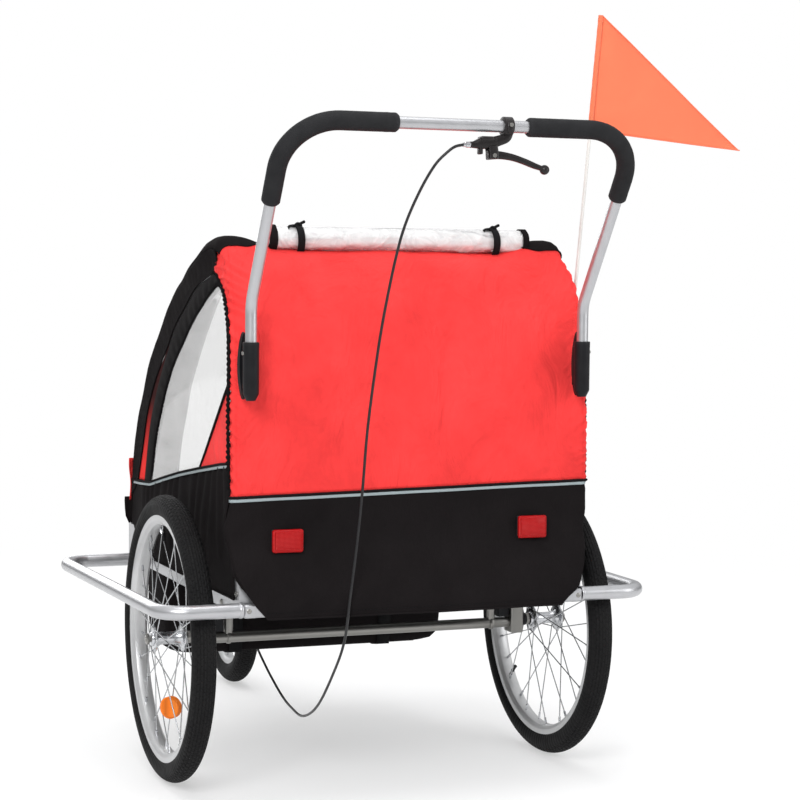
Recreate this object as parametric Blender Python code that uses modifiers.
"""Two-seat child bicycle trailer in its pushing set-up: steel base frame, tube hoops, sewn cover,
two 20 inch wheels, a swivelling 12 inch front wheel with hand brake, and a lift-out push handle.

Metres, +Z up. The trailer drives towards -Y, its left side is +X.
The world origin is where the front wheel stands on the ground. The shapes are laid out from
the rear wheels' axle line, and an empty carries them all back from there by the wheelbase."""

import math

import bmesh
import bpy
from mathutils import Matrix, Vector

# ---------------------------------------------------------------- driving dimensions
WHEELBASE = 0.810
REAR_WHEEL_R = 0.2475  # 20 x 1.75 tyre
REAR_WHEEL_X = 0.3586
FRONT_WHEEL_R = 0.1485  # 12 1/2 x 1.75 tyre
REAR_AXLE = (0.0, REAR_WHEEL_R)  # y, z
FRONT_AXLE = (-WHEELBASE, FRONT_WHEEL_R)  # y, z
FRONT_WHEEL_Y = -WHEELBASE
SWIVEL_Y = FRONT_WHEEL_Y - 0.050  # the front wheel trails its swivel

RAIL = 0.022  # square tube of the base frame
RAIL_HALF = RAIL / 2
RAIL_X = 0.292
RAIL_Z = 0.331
RAIL_REAR_Y = 0.2555
RAIL_FRONT_Y = -0.485
RAIL_TOP = RAIL_Z + RAIL_HALF
RAIL_UNDER = RAIL_Z - RAIL_HALF
RAIL_FRONT_FACE_Y = RAIL_FRONT_Y - RAIL_HALF

HOOP_X = RAIL_X
HOOP_R = 0.010
HOOP_INSET = 0.0150  # hoop centre line inside the cover's outside
SHELL_T = 0.003  # cover panels
CABLE_R = 0.0024
GAP = 0.0003  # clearance between neighbouring pieces

# outer outline of the cover along its middle, from the rear hem over the roof to the front:
# y, z, half width
COVER = [
    (0.2712, 0.317, 0.266), (0.2708, 0.345, 0.290), (0.2625, 0.376, 0.308),
    (0.249, 0.408, 0.318), (0.2375, 0.447, 0.323), (0.2346, 0.520, 0.323),
    (0.2325, 0.600, 0.323), (0.2280, 0.680, 0.323), (0.2205, 0.755, 0.321),
    (0.205, 0.820, 0.318), (0.187, 0.866, 0.314), (0.160, 0.904, 0.305),
    (0.130, 0.923, 0.300), (0.095, 0.926, 0.303), (0.0446, 0.914, 0.308),
    (-0.065, 0.893, 0.312), (-0.165, 0.866, 0.314), (-0.262, 0.809, 0.314),
    (-0.345, 0.706, 0.314), (-0.415, 0.600, 0.314), (-0.470, 0.482, 0.314),
    (-0.482, 0.4406, 0.314), (-0.485, 0.400, 0.314), (-0.485, 0.350, 0.314),
]
# indices in COVER
REAR_SEAM = 5  # black panel below, red panel above
ROOF_FRONT = 15  # where the roof ends and the front screen starts
SCREEN_END = 20
COVER_END = len(COVER) - 1
COVER_CENTRE = Vector((0, -0.1, 0.55))  # a point inside the cabin

for old in list(bpy.data.objects):
    bpy.data.objects.remove(old, do_unlink=True)
parts = bpy.data.collections.new("child_bicycle_trailer")
bpy.context.scene.collection.children.link(parts)
helpers = bpy.data.collections.new("cutters")
bpy.context.scene.collection.children.link(helpers)


# ---------------------------------------------------------------- materials
def material(name, colour, roughness, metallic=0.0, alpha=1.0):
    mat = bpy.data.materials.new(name)
    mat.use_nodes = True
    shader = mat.node_tree.nodes["Principled BSDF"]
    shader.inputs["Base Color"].default_value = (*colour, 1.0)
    shader.inputs["Roughness"].default_value = roughness
    shader.inputs["Metallic"].default_value = metallic
    shader.inputs["Alpha"].default_value = alpha
    mat.diffuse_color = (*colour, alpha)
    return mat


SILVER = material("silver_paint", (0.66, 0.67, 0.69), roughness=0.32, metallic=0.85)
ALU = material("polished_aluminium", (0.80, 0.81, 0.82), roughness=0.25, metallic=1.0)
STEEL = material("zinc_steel", (0.42, 0.42, 0.40), roughness=0.40, metallic=1.0)
TYRE = material("tyre_rubber", (0.018, 0.018, 0.020), roughness=0.75)
PLASTIC = material("black_plastic", (0.022, 0.022, 0.024), roughness=0.45)
FOAM = material("black_foam", (0.018, 0.018, 0.020), roughness=0.85)
RED = material("red_polyester", (0.95, 0.055, 0.045), roughness=0.75)
BLACK = material("black_polyester", (0.018, 0.016, 0.017), roughness=0.85)
CLEAR = material("clear_film", (0.92, 0.94, 0.95), roughness=0.10, alpha=0.25)
NETTING = material("black_netting", (0.03, 0.03, 0.03), roughness=0.80, alpha=0.45)
LENS_RED = material("red_lens", (0.60, 0.012, 0.015), roughness=0.15)
LENS_AMBER = material("amber_lens", (1.0, 0.30, 0.03), roughness=0.15)
FLAG = material("orange_flag", (1.0, 0.23, 0.09), roughness=0.60)
POLE = material("white_fibre", (0.80, 0.79, 0.76), roughness=0.45)


# ---------------------------------------------------------------- objects and booleans
def add(name, data, mat, helper=False):
    obj = bpy.data.objects.new(name, data)
    (helpers if helper else parts).objects.link(obj)
    data.materials.append(mat)
    if helper:
        obj.hide_render = True
        obj.display_type = "WIRE"
    return obj


def add_bmesh(name, bm, mat, helper=False):
    mesh = bpy.data.meshes.new(name)
    bm.to_mesh(mesh)
    bm.free()
    return add(name, mesh, mat, helper)


def baked(obj):
    """Gives obj the mesh its curve or modifiers make, caps welded."""
    bpy.context.view_layer.update()
    graph = bpy.context.evaluated_depsgraph_get()
    mesh = bpy.data.meshes.new_from_object(obj.evaluated_get(graph))
    mesh.name = obj.name
    bm = bmesh.new()
    bm.from_mesh(mesh)
    bmesh.ops.remove_doubles(bm, verts=bm.verts, dist=1e-6)
    bm.to_mesh(mesh)
    bm.free()
    if obj.type == "MESH":
        obj.modifiers.clear()
        obj.data = mesh
        return obj
    # a curve object can't hold a mesh, so a new object takes its name and place
    name, world, home = obj.name, obj.matrix_world.copy(), obj.users_collection[0]
    mat = obj.data.materials[0]
    bpy.data.objects.remove(obj)
    new = bpy.data.objects.new(name, mesh)
    home.objects.link(new)
    new.matrix_world = world
    if not mesh.materials:
        mesh.materials.append(mat)
    return new


def boolean(obj, others, operation):
    """Applies the others one by one and removes them."""
    for other in others:
        mod = obj.modifiers.new(operation.lower(), "BOOLEAN")
        mod.operation = operation
        mod.object = other
        mod.solver = "EXACT"
        baked(obj)
        bpy.data.objects.remove(other)


def join(obj, *others):
    boolean(obj, others, "UNION")


def cut(obj, *others):
    boolean(obj, others, "DIFFERENCE")


def smooth(obj, sharp_degrees):
    obj.data.shade_smooth()
    obj.data.set_sharp_from_angle(angle=math.radians(sharp_degrees))


def for_both_sides(make):
    """Makes the left (+X) and the right (-X) piece."""
    make("left", 1.0)
    make("right", -1.0)


def span(sign, a, b):
    """Two x values in rising order, mirrored to the right side when sign is negative."""
    return tuple(sorted((sign * a, sign * b)))


def mirrored(points, sign):
    return [Vector((sign * p.x, p.y, p.z)) for p in points]


# ---------------------------------------------------------------- basic shapes
def box(name, low, high, mat, bevel=0.0, segments=1, helper=False):
    low, high = Vector(low), Vector(high)
    bm = bmesh.new()
    bmesh.ops.create_cube(bm, size=1.0, matrix=Matrix.Diagonal((*(high - low), 1.0)))
    obj = add_bmesh(name, bm, mat, helper)
    obj.location = (low + high) / 2
    if bevel:
        mod = obj.modifiers.new("edges", "BEVEL")
        mod.width, mod.segments, mod.limit_method = bevel, segments, "NONE"
        baked(obj)
    return obj


def rod(name, start, end, radius, mat, sides=14, helper=False, end_radius=None):
    start, end = Vector(start), Vector(end)
    bm = bmesh.new()
    bmesh.ops.create_cone(bm, cap_ends=True, segments=sides, radius1=radius,
                          radius2=radius if end_radius is None else end_radius,
                          depth=(end - start).length)
    obj = add_bmesh(name, bm, mat, helper)
    smooth(obj, 35)
    obj.location = (start + end) / 2
    obj.rotation_euler = (end - start).to_track_quat("Z", "Y").to_euler()
    return obj


def tube(name, points, radius, mat, resolution=2, helper=False):
    curve = bpy.data.curves.new(name, "CURVE")
    curve.dimensions = "3D"
    spline = curve.splines.new("POLY")
    spline.points.add(len(points) - 1)
    for knot, point in zip(spline.points, points):
        knot.co = (*point, 1.0)
        knot.radius = 1.0
    spline.use_smooth = True
    curve.twist_mode = "MINIMUM"
    curve.bevel_depth = radius
    curve.bevel_resolution = resolution
    curve.use_fill_caps = True
    return add(name, curve, mat, helper)


def sheet(name, loops, plane_x, thickness, mat, helper=False):
    """A flat sheet in the y-z plane whose middle is at x = plane_x.
    The loops after the first are holes."""
    curve = bpy.data.curves.new(name, "CURVE")
    curve.dimensions = "2D"
    curve.fill_mode = "BOTH"
    curve.extrude = thickness / 2
    for loop in loops:
        spline = curve.splines.new("POLY")
        spline.points.add(len(loop) - 1)
        spline.use_cyclic_u = True
        for knot, (y, z) in zip(spline.points, loop):
            knot.co = (y, z, 0.0, 1.0)
    obj = add(name, curve, mat, helper)
    obj.matrix_world = Matrix(((0, 0, 1, plane_x), (1, 0, 0, 0), (0, 1, 0, 0), (0, 0, 0, 1)))
    return baked(obj)


def turn_crosswise(obj, place, sign=1.0):
    """Stands a sheet in the x-z plane at place; a negative sign mirrors its outline in x."""
    x, y, z = place
    obj.matrix_world = Matrix(((sign, 0, 0, x), (0, 0, -sign, y), (0, 1, 0, z), (0, 0, 0, 1)))


def turned(name, profile, centre, mat, steps=24, on_flat=False):
    """A body turned about a line along X through centre.
    profile holds (x along the axis, radius) and is one closed loop.
    With on_flat one facet faces straight down, at the profile's true radius."""
    if on_flat:
        profile = [(along, radius / math.cos(math.pi / steps)) for along, radius in profile]
    area = sum(a[1] * b[0] - b[1] * a[0] for a, b in zip(profile, profile[1:] + profile[:1]))
    if area > 0:
        profile = profile[::-1]
    bm = bmesh.new()
    ring = [bm.verts.new((radius, 0.0, along)) for along, radius in profile]
    for a, b in zip(ring, ring[1:] + ring[:1]):
        bm.edges.new((a, b))
    obj = add_bmesh(name, bm, mat)
    mod = obj.modifiers.new("turn", "SCREW")
    mod.axis, mod.angle = "Z", 2 * math.pi
    mod.steps = mod.render_steps = steps
    mod.use_merge_vertices, mod.merge_threshold = True, 1e-5
    mod.use_smooth_shade = True
    spin = Matrix.Rotation(math.pi / steps if on_flat else 0.0, 4, "Z")
    obj.matrix_world = Matrix.Translation(centre) @ Matrix.Rotation(math.pi / 2, 4, "Y") @ spin
    return baked(obj)


def ring_profile(half_width, inner_r, outer_r):
    return [(-half_width, inner_r), (half_width, inner_r),
            (half_width, outer_r), (-half_width, outer_r)]


# ---------------------------------------------------------------- paths
def spline_path(points, per):
    """Points on a Catmull-Rom line through the given ones, with per steps between two of them."""
    points = [Vector(p) for p in points]
    ends = [points[0] * 2 - points[1]] + points + [points[-1] * 2 - points[-2]]
    found = []
    for i in range(1, len(ends) - 2):
        p0, p1, p2, p3 = ends[i - 1: i + 3]
        for k in range(per):
            t = k / per
            found.append(0.5 * (2 * p1 + (p2 - p0) * t + (2 * p0 - 5 * p1 + 4 * p2 - p3) * t * t
                                + (3 * p1 - p0 - 3 * p2 + p3) * t ** 3))
    return found + [points[-1]]


def bent(points, radius, steps):
    """The same path with each inner corner rounded to the bend radius."""
    points = [Vector(p) for p in points]
    path = [points[0]]
    for before, corner, after in zip(points, points[1:], points[2:]):
        a, b = (before - corner).normalized(), (after - corner).normalized()
        half = a.angle(b) / 2
        reach = radius / math.tan(half)
        centre = corner + (a + b).normalized() * radius / math.sin(half)
        start, end = corner + a * reach - centre, corner + b * reach - centre
        for k in range(steps + 1):
            path.append(centre + start.slerp(end, k / steps, start).normalized() * radius)
    return path + [points[-1]]


def cover_path(inset, first, last, per):
    """The cover's outline between two COVER stations, moved inwards, as (half width, y, z)."""
    line = spline_path([(half_width, y, z) for y, z, half_width in COVER[first: last + 1]], per)
    moved = []
    for i, point in enumerate(line):
        along = line[min(i + 1, len(line) - 1)] - line[max(i - 1, 0)]
        inward = Vector((0.0, -along.z, along.y)).normalized()
        moved.append(point + inward * inset)
    return moved


# ---------------------------------------------------------------- base frame
RAIL_END_INSET = 0.001  # cross rail ends beyond the side rails' middles
CROSS_RAIL_INSET = 0.0003  # keeps joined faces from lying in one plane


def rail(name, low, high, helper=True):
    return box(name, low, high, SILVER, bevel=0.0025, helper=helper)


def side_rail(name, sign, helper=True):
    x = sign * RAIL_X
    return rail(name, (x - RAIL_HALF, RAIL_FRONT_FACE_Y, RAIL_UNDER),
                (x + RAIL_HALF, RAIL_REAR_Y + RAIL_HALF, RAIL_TOP), helper)


def cross_rail(y, inset_y=CROSS_RAIL_INSET):
    reach_x = RAIL_X - RAIL_END_INSET
    return rail("cross_rail",
                (-reach_x, y - RAIL_HALF + inset_y, RAIL_UNDER + CROSS_RAIL_INSET),
                (reach_x, y + RAIL_HALF - inset_y, RAIL_TOP - CROSS_RAIL_INSET))


base = side_rail("base_frame", 1.0, helper=False)
join(base, cross_rail(RAIL_REAR_Y), side_rail("right_rail", -1.0),
     cross_rail(RAIL_FRONT_Y), cross_rail(0.0, inset_y=0.0))

# axle tube between the two mounts, hung from the middle cross rail by two posts
AXLE_TUBE_Z = 0.2435
AXLE_TUBE_END_X = 0.2845
AXLE_TUBE_R = 0.0095
POST_X = 0.250
POST_R = 0.008
MOUNT_X = (0.2850, 0.3090)
MOUNT_HALF_Y = 0.017
MOUNT_UNDER = 0.225
MOUNT_BORE_X = (0.2880, 0.32)  # blind end, past the open end
MOUNT_BORE_R = 0.0053

axle_tube = rod("axle_tube", (-AXLE_TUBE_END_X, 0, AXLE_TUBE_Z),
                (AXLE_TUBE_END_X, 0, AXLE_TUBE_Z), AXLE_TUBE_R, STEEL)
join(axle_tube, *[
    rod("post", (x, 0, AXLE_TUBE_Z), (x, 0, RAIL_UNDER - GAP), POST_R, STEEL, 12, helper=True)
    for x in (POST_X, -POST_X)
])


def axle_mount(side, sign):
    low, high = span(sign, *MOUNT_X)
    mount = box(f"axle_mount_{side}", (low, -MOUNT_HALF_Y, MOUNT_UNDER),
                (high, MOUNT_HALF_Y, RAIL_UNDER - GAP), STEEL, bevel=0.002)
    start, end = [(sign * x, *REAR_AXLE) for x in MOUNT_BORE_X]
    cut(mount, rod("bore", start, end, MOUNT_BORE_R, STEEL, 16, helper=True))


for_both_sides(axle_mount)

# corner brackets on the outer faces of the side rails
BRACKET_X = (0.3034, 0.3064)
BRACKET_Z = (0.322, 0.392)
REAR_BRACKET = [(0.072, 0.322), (0.250, 0.322), (0.250, 0.392), (0.206, 0.384), (0.072, 0.340)]
GUSSET = [(-0.0395, 0.0), (0.0, 0.0), (0.0, 0.045)]  # outwards and up from its outer lower corner
GUSSET_T = 0.003
GUSSET_Y = 0.2474


def rear_bracket(side, sign):
    inner, outer = BRACKET_X
    plate = sheet(f"rear_corner_bracket_{side}", [REAR_BRACKET],
                  sign * (inner + outer) / 2, outer - inner, SILVER)
    gusset = sheet("gusset", [GUSSET], 0.0, GUSSET_T, SILVER, helper=True)
    turn_crosswise(gusset, (sign * outer, GUSSET_Y, RAIL_TOP + GAP), sign)
    join(plate, gusset)


def front_bracket(side, sign):
    low, high = span(sign, *BRACKET_X)
    box(f"front_corner_bracket_{side}", (low, -0.494, BRACKET_Z[0]),
        (high, -0.440, BRACKET_Z[1]), SILVER, bevel=0.001)


for_both_sides(rear_bracket)
for_both_sides(front_bracket)

# side hoops: from the rear corner up, along the roof edge and down to the front corner
HOOP_FOOT_Z = RAIL_TOP + 0.0012
hoop_line = (cover_path(HOOP_INSET, 5, 9, 1) + cover_path(HOOP_INSET, 9, 14, 2)[1:]
             + cover_path(HOOP_INSET, 14, 21, 1)[1:])
hoop_points = [(0.2320, HOOP_FOOT_Z), (0.2290, 0.400), (0.2225, 0.450)]  # y, z
hoop_points += [(p.y, p.z) for p in hoop_line]
hoop_points += [(-0.4700, 0.400), (-0.4700, HOOP_FOOT_Z)]


def side_hoop(side, sign):
    points = [(sign * HOOP_X, y, z) for y, z in hoop_points]
    tube(f"side_hoop_{side}", points, HOOP_R, SILVER, resolution=1)


for_both_sides(side_hoop)

# crossbars between the hoops: name, COVER station
CROSSBAR_END_X = HOOP_X - HOOP_R - 0.0005
CROSSBAR_R = 0.0080
for name, station in (("roof_crossbar_rear", 12), ("roof_crossbar_front", 15)):
    place = cover_path(HOOP_INSET, station - 1, station + 1, 1)[1]
    rod(name, (-CROSSBAR_END_X, place.y, place.z), (CROSSBAR_END_X, place.y, place.z),
        CROSSBAR_R, SILVER, 12)

# wheel guards: round tube round the outside of each rear wheel
GUARD_R = 0.012
GUARD_Z = RAIL_Z + 0.0012
GUARD_CORNERS = [(0.3070, RAIL_REAR_Y, 0.0), (0.4351, 0.2580, 0.0),
                 (0.4605, -0.3960, 0.0), (0.3036, -0.3960, 0.0)]
guard_path = bent(GUARD_CORNERS, radius=0.050, steps=5)


def wheel_guard(side, sign):
    tube(f"wheel_guard_{side}", [(sign * p.x, p.y, GUARD_Z) for p in guard_path],
         GUARD_R, SILVER)


for_both_sides(wheel_guard)

# ---------------------------------------------------------------- floor and footwell
TUB_X = 0.277
FLOOR_Z = (0.3425, 0.3463)
WELL_FRONT_Y = -0.472
WELL_REAR_Y = -0.2935
WELL_UNDER = 0.163
WELL_WALL = 0.0035
APRON_Z = (0.340, 0.452)
well_inner_x = TUB_X - WELL_WALL
well_inner_front = WELL_FRONT_Y + WELL_WALL
well_inner_rear = WELL_REAR_Y - WELL_WALL

tub = box("floor_and_footwell", (-TUB_X, well_inner_rear, FLOOR_Z[0]),
          (TUB_X, 0.226, FLOOR_Z[1]), BLACK)
well = box("well", (-TUB_X, WELL_FRONT_Y, WELL_UNDER), (TUB_X, WELL_REAR_Y, FLOOR_Z[1]),
           BLACK, helper=True)
cut(well, box("well_inside", (-well_inner_x, well_inner_front, WELL_UNDER + WELL_WALL),
              (well_inner_x, well_inner_rear, 0.40), BLACK, helper=True))
apron = box("apron", (-TUB_X, WELL_FRONT_Y, APRON_Z[0]), (TUB_X, well_inner_front, APRON_Z[1]),
            BLACK, helper=True)
join(tub, well, apron)

# ---------------------------------------------------------------- seat and harnesses
SEAT_X = 0.255
box("seat_cushion", (-SEAT_X, -0.288, 0.3468), (SEAT_X, 0.108, 0.392), BLACK,
    bevel=0.012, segments=2)

back_low, back_high = Vector((0, 0.133, 0.3935)), Vector((0, 0.176, 0.846))
back_middle = (back_low + back_high) / 2
back_rise = back_high - back_low
back_lean = math.atan2(back_rise.y, back_rise.z)
back_up = back_rise.normalized()
back_out = Vector((0, -back_up.z, back_up.y))  # out of the seat back, towards the front


def leaning_box(name, size, centre, mat, bevel=0.0, segments=1, helper=False):
    """A box that leans with the seat back."""
    half = Vector(size) / 2
    obj = box(name, -half, half, mat, bevel, segments, helper)
    obj.location = centre
    obj.rotation_euler = (-back_lean, 0.0, 0.0)
    return obj


leaning_box("seat_back", (2 * SEAT_X, 0.012, back_rise.length), back_middle, BLACK,
            bevel=0.004, segments=2)

HARNESS_X = 0.128  # middle of each seat
HARNESS_OUT = 0.0078  # strap middle in front of the seat back's middle
HARNESS_UP = 0.01
STRAP_OFFSET = Vector((0.045, 0, 0))
STRAP_SIZE = (0.025, 0.0024, 0.330)
LAP_SIZE = (0.210, 0.0028, 0.030)
LAP_DROP = 0.130
BUCKLE_SIZE = (0.048, 0.009, 0.060)
BUCKLE_OUT = 0.0048


def harness(side, sign):
    """Two shoulder straps, a lap strap and the buckle of one seat."""
    middle = (back_middle + back_out * HARNESS_OUT + back_up * HARNESS_UP
              + Vector((sign * HARNESS_X, 0, 0)))
    lap_middle = middle - back_up * LAP_DROP
    strap = leaning_box(f"harness_{side}", STRAP_SIZE, middle + STRAP_OFFSET, BLACK)
    other = leaning_box("strap", STRAP_SIZE, middle - STRAP_OFFSET, BLACK, helper=True)
    lap = leaning_box("lap", LAP_SIZE, lap_middle, BLACK, helper=True)
    buckle = leaning_box("buckle", BUCKLE_SIZE, lap_middle + back_out * BUCKLE_OUT, PLASTIC,
                         bevel=0.003, segments=2, helper=True)
    join(strap, lap, other, buckle)


for_both_sides(harness)


# ---------------------------------------------------------------- cover
def cover_strip(name, first, last, mat, columns=4):
    """One sewn panel of the cover across the trailer, from one COVER station to another."""
    bm = bmesh.new()
    rows = [[bm.verts.new((p.x * (1 - 2 * k / columns), p.y, p.z)) for k in range(columns + 1)]
            for p in cover_path(0.0, first, last, 2)]
    for low, high in zip(rows, rows[1:]):
        for k in range(columns):
            bm.faces.new((low[k], high[k], high[k + 1], low[k + 1]))
    bmesh.ops.recalc_face_normals(bm, faces=bm.faces)
    bm.normal_update()
    # the cloth thickens inwards, so the faces have to look outwards
    middle = bm.faces[:][len(bm.faces) // 2]
    if middle.normal.dot(middle.calc_center_median() - COVER_CENTRE) < 0:
        bmesh.ops.reverse_faces(bm, faces=bm.faces)
    obj = add_bmesh(name, bm, mat)
    mod = obj.modifiers.new("cloth", "SOLIDIFY")
    mod.thickness, mod.offset = SHELL_T, -1.0
    return baked(obj)


# the small shifts keep neighbouring panels apart at their seams
cover_strip("cover_rear_lower", 0, REAR_SEAM, BLACK)
upper = cover_strip("cover_rear_and_roof", REAR_SEAM, ROOF_FRONT, RED)
upper.location = (0, 0, 0.0004)
screen = cover_strip("front_screen", ROOF_FRONT, SCREEN_END, NETTING)
screen.location = (0, -0.0004, -0.0001)

SIDE_COVER_X = 0.3105
SIDE_COVER_GAP = 0.0012  # inside the sewn panels
WINDOW_T = 0.0015
WINDOW_GAP = 0.0012
# window opening of the side cover: y, z
WINDOW = [
    (0.123, 0.846), (0.169, 0.838), (0.196, 0.806), (0.213, 0.768), (0.214, 0.703),
    (0.200, 0.684), (-0.068, 0.526), (-0.190, 0.506), (-0.307, 0.492), (-0.270, 0.570),
    (-0.213, 0.647), (-0.150, 0.704), (-0.063, 0.760), (0.032, 0.814),
]
# lower edge of the side cover from front to rear: y, z
SIDE_HEM = [(-0.480, 0.398), (-0.434, 0.398), (-0.428, 0.352), (0.058, 0.352), (0.196, 0.396)]
side_line = [(p.y, p.z) for p in cover_path(SHELL_T + SIDE_COVER_GAP, 4, COVER_END, 1)]
side_outline = [(y, z) for y, z in side_line if z > 0.400 or y > 0] + SIDE_HEM


def shrunk(loop, distance):
    """The loop with each corner moved inwards, square to the line between its neighbours."""
    loop = [Vector(p) for p in loop]
    centre = sum(loop, Vector((0.0, 0.0))) / len(loop)
    moved = []
    for i, corner in enumerate(loop):
        along = (loop[(i + 1) % len(loop)] - loop[i - 1]).normalized()
        inward = Vector((along.y, -along.x))
        if inward.dot(centre - corner) < 0:
            inward = -inward
        moved.append(corner + inward * distance)
    return moved


def side_cover(side, sign):
    x = sign * SIDE_COVER_X
    sheet(f"side_cover_{side}", [side_outline, WINDOW], x, SHELL_T, BLACK)
    sheet(f"side_window_{side}", [shrunk(WINDOW, WINDOW_GAP)], x, WINDOW_T, CLEAR)


for_both_sides(side_cover)

# rolled-up rain cover on the roof, tied with two straps
ROLL_AXIS = (0.052, 0.9440)  # y, z
ROLL_R = 0.0228
STRAP_HALF_WIDTH = 0.009
rod("rolled_rain_cover", (-0.287, *ROLL_AXIS), (0.212, *ROLL_AXIS), ROLL_R, CLEAR)
for side, x in (("left", 0.137), ("right", -0.224)):
    turned(f"rain_cover_strap_{side}",
           ring_profile(STRAP_HALF_WIDTH, ROLL_R + 0.0006, ROLL_R + 0.0026),
           (x, *ROLL_AXIS), BLACK, steps=14)


def rear_reflector(side, sign):
    low, high = span(sign, 0.1945, 0.2455)
    box(f"rear_reflector_{side}", (low, 0.2425, 0.4283), (high, 0.2535, 0.4650), LENS_RED,
        bevel=0.0035, segments=2)


for_both_sides(rear_reflector)

# ---------------------------------------------------------------- push handle
HANDLE_X = 0.294
HANDLE_Y = 0.268
HANDLE_FOOT_Z = 0.6950
HANDLE_BEND_Z = 0.8276
HANDLE_R = 0.0096
BAR_X = 0.2970  # corner between upright and bar
BAR_Y = 0.4495
BAR_Z = 1.107
GRIP_R = 0.0150
SOCKET_R = 0.0130
SOCKET_Z = (0.6800, 0.7653)
SOCKET_FOOT_Z = (0.6810, 0.6720)  # tapers downwards
SOCKET_BORE_Z = (0.6900, 0.80)
FLANGE_T = 0.0190
# x, z from the flange's middle
FLANGE = [(0.0, -0.052), (0.0065, -0.030), (0.0085, 0.0), (0.0065, 0.034), (0.0, 0.056),
          (-0.0065, 0.034), (-0.0085, 0.0), (-0.0065, -0.030)]


def handle_socket(side, sign):
    x = sign * HANDLE_X

    def upright(name, z_range, radius, **options):
        start, end = [(x, HANDLE_Y, z) for z in z_range]
        return rod(name, start, end, radius, PLASTIC, 16, **options)

    body = upright(f"handle_socket_{side}", SOCKET_Z, SOCKET_R)
    foot = upright("foot", SOCKET_FOOT_Z, SOCKET_R - 0.0001, helper=True, end_radius=0.0085)
    flange = sheet("flange", [FLANGE], 0.0, FLANGE_T, PLASTIC, helper=True)
    turn_crosswise(flange, (x + sign * 0.005, 0.2460, 0.7260))
    join(body, foot, flange)
    cut(body, upright("bore", SOCKET_BORE_Z, HANDLE_R + 0.0004, helper=True))


for_both_sides(handle_socket)

# left half of the handle, without the last point in the middle of the bar
handle_half = bent([(HANDLE_X, HANDLE_Y, HANDLE_FOOT_Z), (HANDLE_X, HANDLE_Y, HANDLE_BEND_Z),
                    (BAR_X, BAR_Y, BAR_Z), (0.0, BAR_Y, BAR_Z)], radius=0.086, steps=5)[:-1]
tube("handle_tube", handle_half + mirrored(handle_half[::-1], -1.0), HANDLE_R, SILVER)

GRIP_START = Vector((HANDLE_X + 0.0018, 0.3742, 0.9910))
GRIP_BORE_OVERRUN = 0.02


def grip(side, sign, end_x):
    """Foam sleeve from the upright round the corner to end_x on the bar."""
    path = [GRIP_START] + [p for p in handle_half if p.z > 1.0] + [Vector((end_x, BAR_Y, BAR_Z))]
    first = GRIP_START + (GRIP_START - path[1]).normalized() * GRIP_BORE_OVERRUN
    last = Vector((end_x - GRIP_BORE_OVERRUN, BAR_Y, BAR_Z))
    sleeve = baked(tube(f"grip_{side}", mirrored(path, sign), GRIP_R, FOAM))
    bore = baked(tube("bore", mirrored([first] + path + [last], sign), HANDLE_R + 0.0012,
                      FOAM, helper=True))
    cut(sleeve, bore)
    smooth(sleeve, 40)


grip("left", 1.0, end_x=0.1130)
grip("right", -1.0, end_x=0.1010)

# ---------------------------------------------------------------- hand brake
# clamp ring round the bar, a web and the lever housing
clamp = turned("brake_clamp", ring_profile(0.009, HANDLE_R + 0.0005, 0.0165),
               (-0.0660, BAR_Y, BAR_Z), PLASTIC, steps=20)
join(
    clamp,
    box("web", (-0.0740, 0.4435, 1.0800), (-0.0420, 0.4560, 1.0945), PLASTIC,
        bevel=0.002, helper=True),
    box("housing", (-0.0445, 0.4400, 1.0700), (-0.0060, 0.4590, 1.0880), PLASTIC,
        bevel=0.003, helper=True),
)
rod("cable_adjuster", (-0.0056, BAR_Y, 1.0770), (0.0078, BAR_Y, 1.0765), 0.0048, ALU, 12)

# lever with a block at its root and a ball at its tip
LEVER_R = 0.0052
LEVER_BALL_R = 0.0075
LEVER = [(-0.0330, BAR_Y, 1.0600), (-0.0600, BAR_Y, 1.0605), (-0.0850, BAR_Y, 1.0560),
         (-0.1100, BAR_Y, 1.0480), (-0.1310, BAR_Y, 1.0425)]
lever = baked(tube("brake_lever", spline_path(LEVER, 2), LEVER_R, PLASTIC))
bm = bmesh.new()
bmesh.ops.create_uvsphere(bm, u_segments=12, v_segments=8, radius=LEVER_BALL_R)
ball = add_bmesh("ball", bm, PLASTIC, helper=True)
ball.location = (-0.1320, BAR_Y, 1.0420)
root = box("root", (-0.0500, 0.4430, 1.0540), (-0.0250, 0.4560, 1.0676), PLASTIC,
           bevel=0.002, helper=True)
join(lever, ball, root)

# brake cable from the adjuster down the rear and under the floor to the front: x, y, z
CABLE = [
    (0.0092, 0.4495, 1.0763), (0.020, 0.4475, 1.0720), (0.0317, 0.4450, 1.0650),
    (0.0485, 0.4350, 1.0450), (0.0653, 0.4158, 1.0060), (0.0800, 0.3910, 0.9530),
    (0.0871, 0.3663, 0.8950), (0.0930, 0.3320, 0.8030), (0.0970, 0.3090, 0.7220),
    (0.1040, 0.2945, 0.6240), (0.1090, 0.2870, 0.5260), (0.1160, 0.2840, 0.4435),
    (0.1275, 0.2820, 0.3455), (0.1307, 0.2673, 0.2772), (0.1228, 0.1980, 0.2140),
    (0.1109, 0.0790, 0.1297), (0.0940, -0.0500, 0.0832), (0.0762, -0.1780, 0.0752),
    (0.0574, -0.3270, 0.0891), (0.0440, -0.4300, 0.0975), (0.0400, -0.5300, 0.1040),
    (0.0420, -0.6400, 0.1130),
]
# last stretch, to the front brake arm
CABLE_FRONT = [(0.0425, -0.6445, 0.1134), (0.0460, -0.6800, 0.1200),
               (0.0480, -0.7200, 0.1300), (0.0480, -0.7440, 0.1415)]
for name, points in (("brake_cable", CABLE), ("brake_cable_front", CABLE_FRONT)):
    tube(name, spline_path(points, 2), CABLE_R, PLASTIC, resolution=1)

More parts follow.
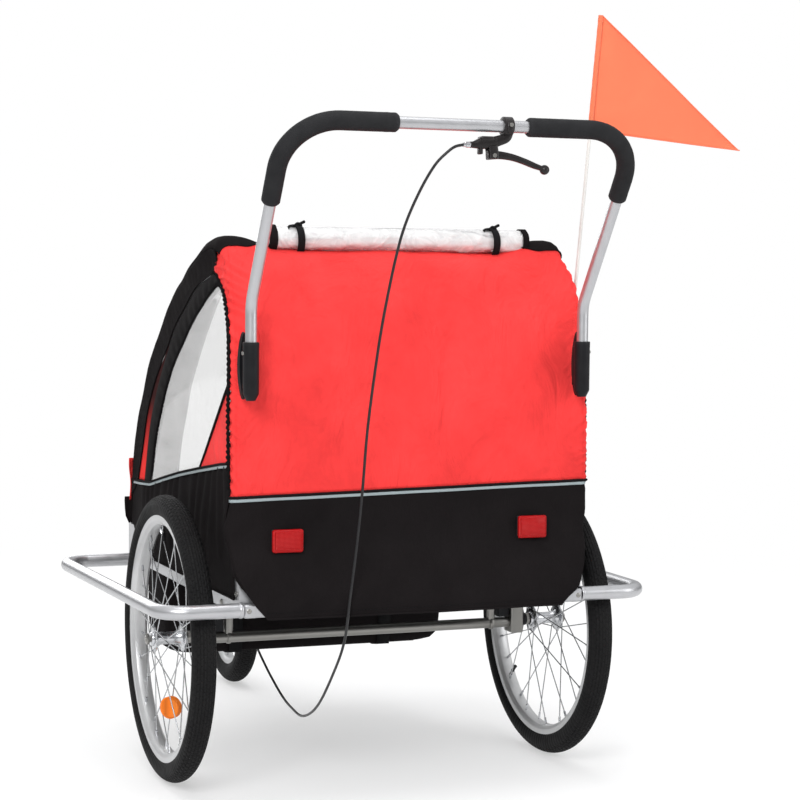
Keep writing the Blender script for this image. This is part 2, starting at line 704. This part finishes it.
# ---------------------------------------------------------------- wheels
TYRE_CORNERS = 12  # of the full round section
TYRE_SEAT_HALF = 0.0125
RIM_HALF = 0.0135
RIM_EDGE = 0.0085  # height of the rim's side walls
RIM_DEPTH = 0.0140
RIM_BED_HALF = 0.0080
HUB_R = 0.012
HUB_BORE_R = 0.0058
HUB_END = 0.006  # hub beyond the flange's middle
FLANGE_HALF = 0.0015
SPOKE_R = 0.0010
SPOKE_LEAD = math.radians(62)  # turn of a spoke between flange and rim


def tyre_profile(wheel_r, tyre_r, seat_r):
    """Round section with a flat where it sits on the rim."""
    middle = wheel_r - tyre_r
    loop = []
    for k in range(TYRE_CORNERS):
        angle = 2 * math.pi * (k + 0.5) / TYRE_CORNERS
        radius = middle + tyre_r * math.cos(angle) / math.cos(math.pi / TYRE_CORNERS)
        if radius > seat_r + 0.004:
            loop.append((tyre_r * math.sin(angle), min(radius, wheel_r)))
    loop.sort(key=lambda p: math.atan2(p[0], p[1] - middle))
    return loop + [(TYRE_SEAT_HALF, seat_r), (-TYRE_SEAT_HALF, seat_r)]


def rim_profile(seat_r):
    return [(-RIM_HALF, seat_r), (RIM_HALF, seat_r), (RIM_HALF, seat_r - RIM_EDGE),
            (RIM_BED_HALF, seat_r - RIM_DEPTH), (-RIM_BED_HALF, seat_r - RIM_DEPTH),
            (-RIM_HALF, seat_r - RIM_EDGE)]


def hub_profile(flange_x, flange_r):
    end, outer, inner = flange_x + HUB_END, flange_x + FLANGE_HALF, flange_x - FLANGE_HALF
    foot = flange_x - 0.003
    return [(-end, HUB_BORE_R), (end, HUB_BORE_R), (end, HUB_R), (outer, HUB_R + 0.0005),
            (outer, flange_r), (inner, flange_r), (foot, HUB_R), (-foot, HUB_R),
            (-inner, flange_r), (-outer, flange_r), (-outer, HUB_R + 0.0005), (-end, HUB_R)]


def make_spokes(centre, count, flange_x, flange_r, nipple_r):
    """Spokes from alternate flanges, leading and trailing in turn."""
    hole_r = flange_r - 0.003
    found = []
    for k in range(count):
        turn = 2 * math.pi * (k + 0.5) / count
        side = 1.0 if k % 2 else -1.0
        start = turn + SPOKE_LEAD * (1.0 if (k // 2) % 2 else -1.0)
        hole = Vector((side * flange_x, hole_r * math.cos(start), hole_r * math.sin(start)))
        nipple = Vector((side * 0.0030, nipple_r * math.cos(turn), nipple_r * math.sin(turn)))
        found.append(rod("spoke", Vector(centre) + hole, Vector(centre) + nipple, SPOKE_R,
                         STEEL, 3, helper=True))
    return found


def wheel(prefix, centre, wheel_r, tyre_r, seat_r, spoke_count, flange_x, flange_r, steps):
    turned(f"{prefix}_tyre", tyre_profile(wheel_r, tyre_r, seat_r), centre, TYRE, steps, True)
    rim_r = seat_r - 0.0004
    turned(f"{prefix}_rim", rim_profile(rim_r), centre, ALU, steps, True)
    hub = turned(f"{prefix}_hub_and_spokes", hub_profile(flange_x, flange_r), centre, ALU, 12)
    spokes = make_spokes(centre, spoke_count, flange_x, flange_r, rim_r - RIM_DEPTH - 0.0014)
    # all spokes join the hub in one boolean, through a collection
    group = bpy.data.collections.new("spokes_" + prefix)
    helpers.children.link(group)
    for spoke in spokes:
        group.objects.link(spoke)
    mod = hub.modifiers.new("union", "BOOLEAN")
    mod.operation, mod.operand_type, mod.solver = "UNION", "COLLECTION", "EXACT"
    mod.collection = group
    baked(hub)
    for spoke in spokes:
        bpy.data.objects.remove(spoke)
    bpy.data.collections.remove(group)


def rear_wheel(side, sign):
    wheel(f"{side}_wheel", (sign * REAR_WHEEL_X, *REAR_AXLE), REAR_WHEEL_R, tyre_r=0.0218,
          seat_r=0.2110, spoke_count=28, flange_x=0.0250, flange_r=0.0240, steps=32)


for_both_sides(rear_wheel)
wheel("front_wheel", (0, *FRONT_AXLE), FRONT_WHEEL_R, tyre_r=0.0225,
      seat_r=0.1120, spoke_count=16, flange_x=0.0150, flange_r=0.0200, steps=24)


def rear_axle(side, sign):
    """Axle pin with a collar at the mount and a cap outside the hub."""
    def piece(name, inner_x, outer_x, radius, sides, helper=True):
        return rod(name, (sign * inner_x, *REAR_AXLE), (sign * outer_x, *REAR_AXLE), radius,
                   STEEL, sides, helper)

    pin = piece(f"{side}_wheel_axle", 0.2885, 0.4020, 0.0050, 16, helper=False)
    join(pin, piece("collar", 0.3095, 0.3260, 0.0105, 12),
         piece("cap", 0.3912, 0.4000, 0.0095, 12))


for_both_sides(rear_axle)

# amber reflector on the outside of the left wheel, below its hub
box("wheel_reflector", (REAR_WHEEL_X + 0.0170, -0.0190, REAR_WHEEL_R - 0.1390),
    (REAR_WHEEL_X + 0.0215, 0.0190, REAR_WHEEL_R - 0.0990), LENS_AMBER, bevel=0.003, segments=2)

# ---------------------------------------------------------------- front wheel carrier
SWIVEL = (0, SWIVEL_Y)  # x, y
HEAD_LOW, HEAD_HIGH = 0.3270, 0.3740
HEAD_R = 0.0190
HEAD_BORE_R = 0.0094
STEERER_R = 0.0090
LEG_X = 0.0360
LEG_R = 0.0080
DROPOUT_X = (0.0320, 0.0400)
DROPOUT_R = 0.0130
DROPOUT_BORE_R = 0.0048
FRONT_AXLE_R = 0.0044

# arm from the base frame to the swivel head
arm = rod("front_wheel_arm", (*SWIVEL, HEAD_LOW), (*SWIVEL, HEAD_HIGH), HEAD_R, SILVER, 20)
join(
    arm,
    box("arm", (-0.0150, SWIVEL_Y + 0.004, 0.3360), (0.0150, RAIL_FRONT_FACE_Y - 0.0004, 0.3620),
        SILVER, bevel=0.003, helper=True),
    box("foot_plate", (-0.0500, RAIL_FRONT_FACE_Y - 0.0060, 0.3220),
        (0.0500, RAIL_FRONT_FACE_Y - GAP, 0.3640), SILVER, bevel=0.001, helper=True),
)
cut(arm, rod("bore", (*SWIVEL, 0.30), (*SWIVEL, 0.40), HEAD_BORE_R, SILVER, 20, helper=True))

# fork: crown, steerer with its cap, two legs and their dropouts
fork = box("front_fork", (-0.0450, SWIVEL_Y - 0.0170, 0.3080), (0.0450, SWIVEL_Y + 0.0170, 0.3262),
           SILVER, bevel=0.003)
pieces = [
    rod("steerer", (*SWIVEL, 0.3150), (*SWIVEL, 0.3800), STEERER_R, SILVER, 20, helper=True),
    rod("cap", (*SWIVEL, HEAD_HIGH + GAP), (*SWIVEL, 0.3830), 0.0140, SILVER, 16, helper=True),
]
for sign in (1.0, -1.0):
    low, high = span(sign, *DROPOUT_X)
    pieces.append(rod("leg", (sign * LEG_X, SWIVEL_Y, 0.3120), (sign * LEG_X, *FRONT_AXLE),
                      LEG_R, SILVER, 12, helper=True))
    pieces.append(rod("dropout", (low, *FRONT_AXLE), (high, *FRONT_AXLE),
                      DROPOUT_R, SILVER, 16, helper=True))
join(fork, *pieces)
cut(fork, rod("bore", (-0.07, *FRONT_AXLE), (0.07, *FRONT_AXLE), DROPOUT_BORE_R, SILVER, 16,
              helper=True))

# axle with a hexagonal head on the right
AXLE_END_X = -0.0520
front_axle = rod("front_wheel_axle", (AXLE_END_X, *FRONT_AXLE), (0.0560, *FRONT_AXLE),
                 FRONT_AXLE_R, STEEL, 16)
join(front_axle, rod("head", (-0.0448, *FRONT_AXLE), (AXLE_END_X, *FRONT_AXLE), 0.0085, STEEL, 6,
                     helper=True))

# brake arm on the front axle's left side, reaching back to the cable
brake_arm = turned("front_brake_arm", ring_profile(0.0020, 0.0050, 0.0120),
                   (0.0480, *FRONT_AXLE), STEEL, steps=16)
join(brake_arm, box("blade", (0.0462, FRONT_WHEEL_Y + 0.0090, FRONT_WHEEL_R - 0.0060),
                    (0.0498, FRONT_WHEEL_Y + 0.0560, FRONT_WHEEL_R + 0.0060), STEEL,
                    bevel=0.001, helper=True))

# ---------------------------------------------------------------- tow arm receiver
# under the left front corner, its mouth open to the front
receiver = box("tow_arm_receiver", (0.2370, -0.4970, 0.2860), (0.2760, -0.4745, 0.3196), PLASTIC,
               bevel=0.002)
cut(receiver, box("mouth", (0.2440, -0.5100, 0.2910), (0.2690, -0.4780, 0.3140), PLASTIC,
                  helper=True))

# ---------------------------------------------------------------- flag
POLE_LOW, POLE_HIGH = Vector((-0.3190, 0.1000, 0.3560)), Vector((-0.3416, 0.2247, 1.3216))
POLE_R = 0.0029
FLAG_OFFSET = Vector((0.0045, 0, 0))  # flag edge from the pole's centre line
FLAG_Z = (1.3205, 1.1270)  # top and bottom along the pole
FLAG_TIP = Vector((-0.6240, 0.2080, 1.1015))
FLAG_T = 0.0016
rod("flag_pole", POLE_LOW, POLE_HIGH, POLE_R, POLE, 10)


def on_pole(z):
    return POLE_LOW.lerp(POLE_HIGH, (z - POLE_LOW.z) / (POLE_HIGH.z - POLE_LOW.z))


bm = bmesh.new()
corners = [on_pole(z) - FLAG_OFFSET for z in FLAG_Z] + [FLAG_TIP]
bm.faces.new([bm.verts.new(corner) for corner in corners])
flag = add_bmesh("flag", bm, FLAG)
mod = flag.modifiers.new("cloth", "SOLIDIFY")
mod.thickness, mod.offset = FLAG_T, 0.0
baked(flag)

# ---------------------------------------------------------------- shading and parent
# meshes shaded smooth, by the first word of their name
SMOOTH_WORDS = ("axle", "left", "right", "front", "handle", "rolled", "cable")
for obj in parts.objects:
    if obj.type == "MESH" and obj.name.split("_")[0] in SMOOTH_WORDS:
        smooth(obj, 38)

# everything hangs on one empty, set back from the front wheel by the wheelbase
trailer = bpy.data.objects.new("child_bicycle_trailer", None)
parts.objects.link(trailer)
trailer.location = (0.0, WHEELBASE, 0.0)
for obj in list(parts.objects):
    if obj is not trailer:
        obj.parent = trailer
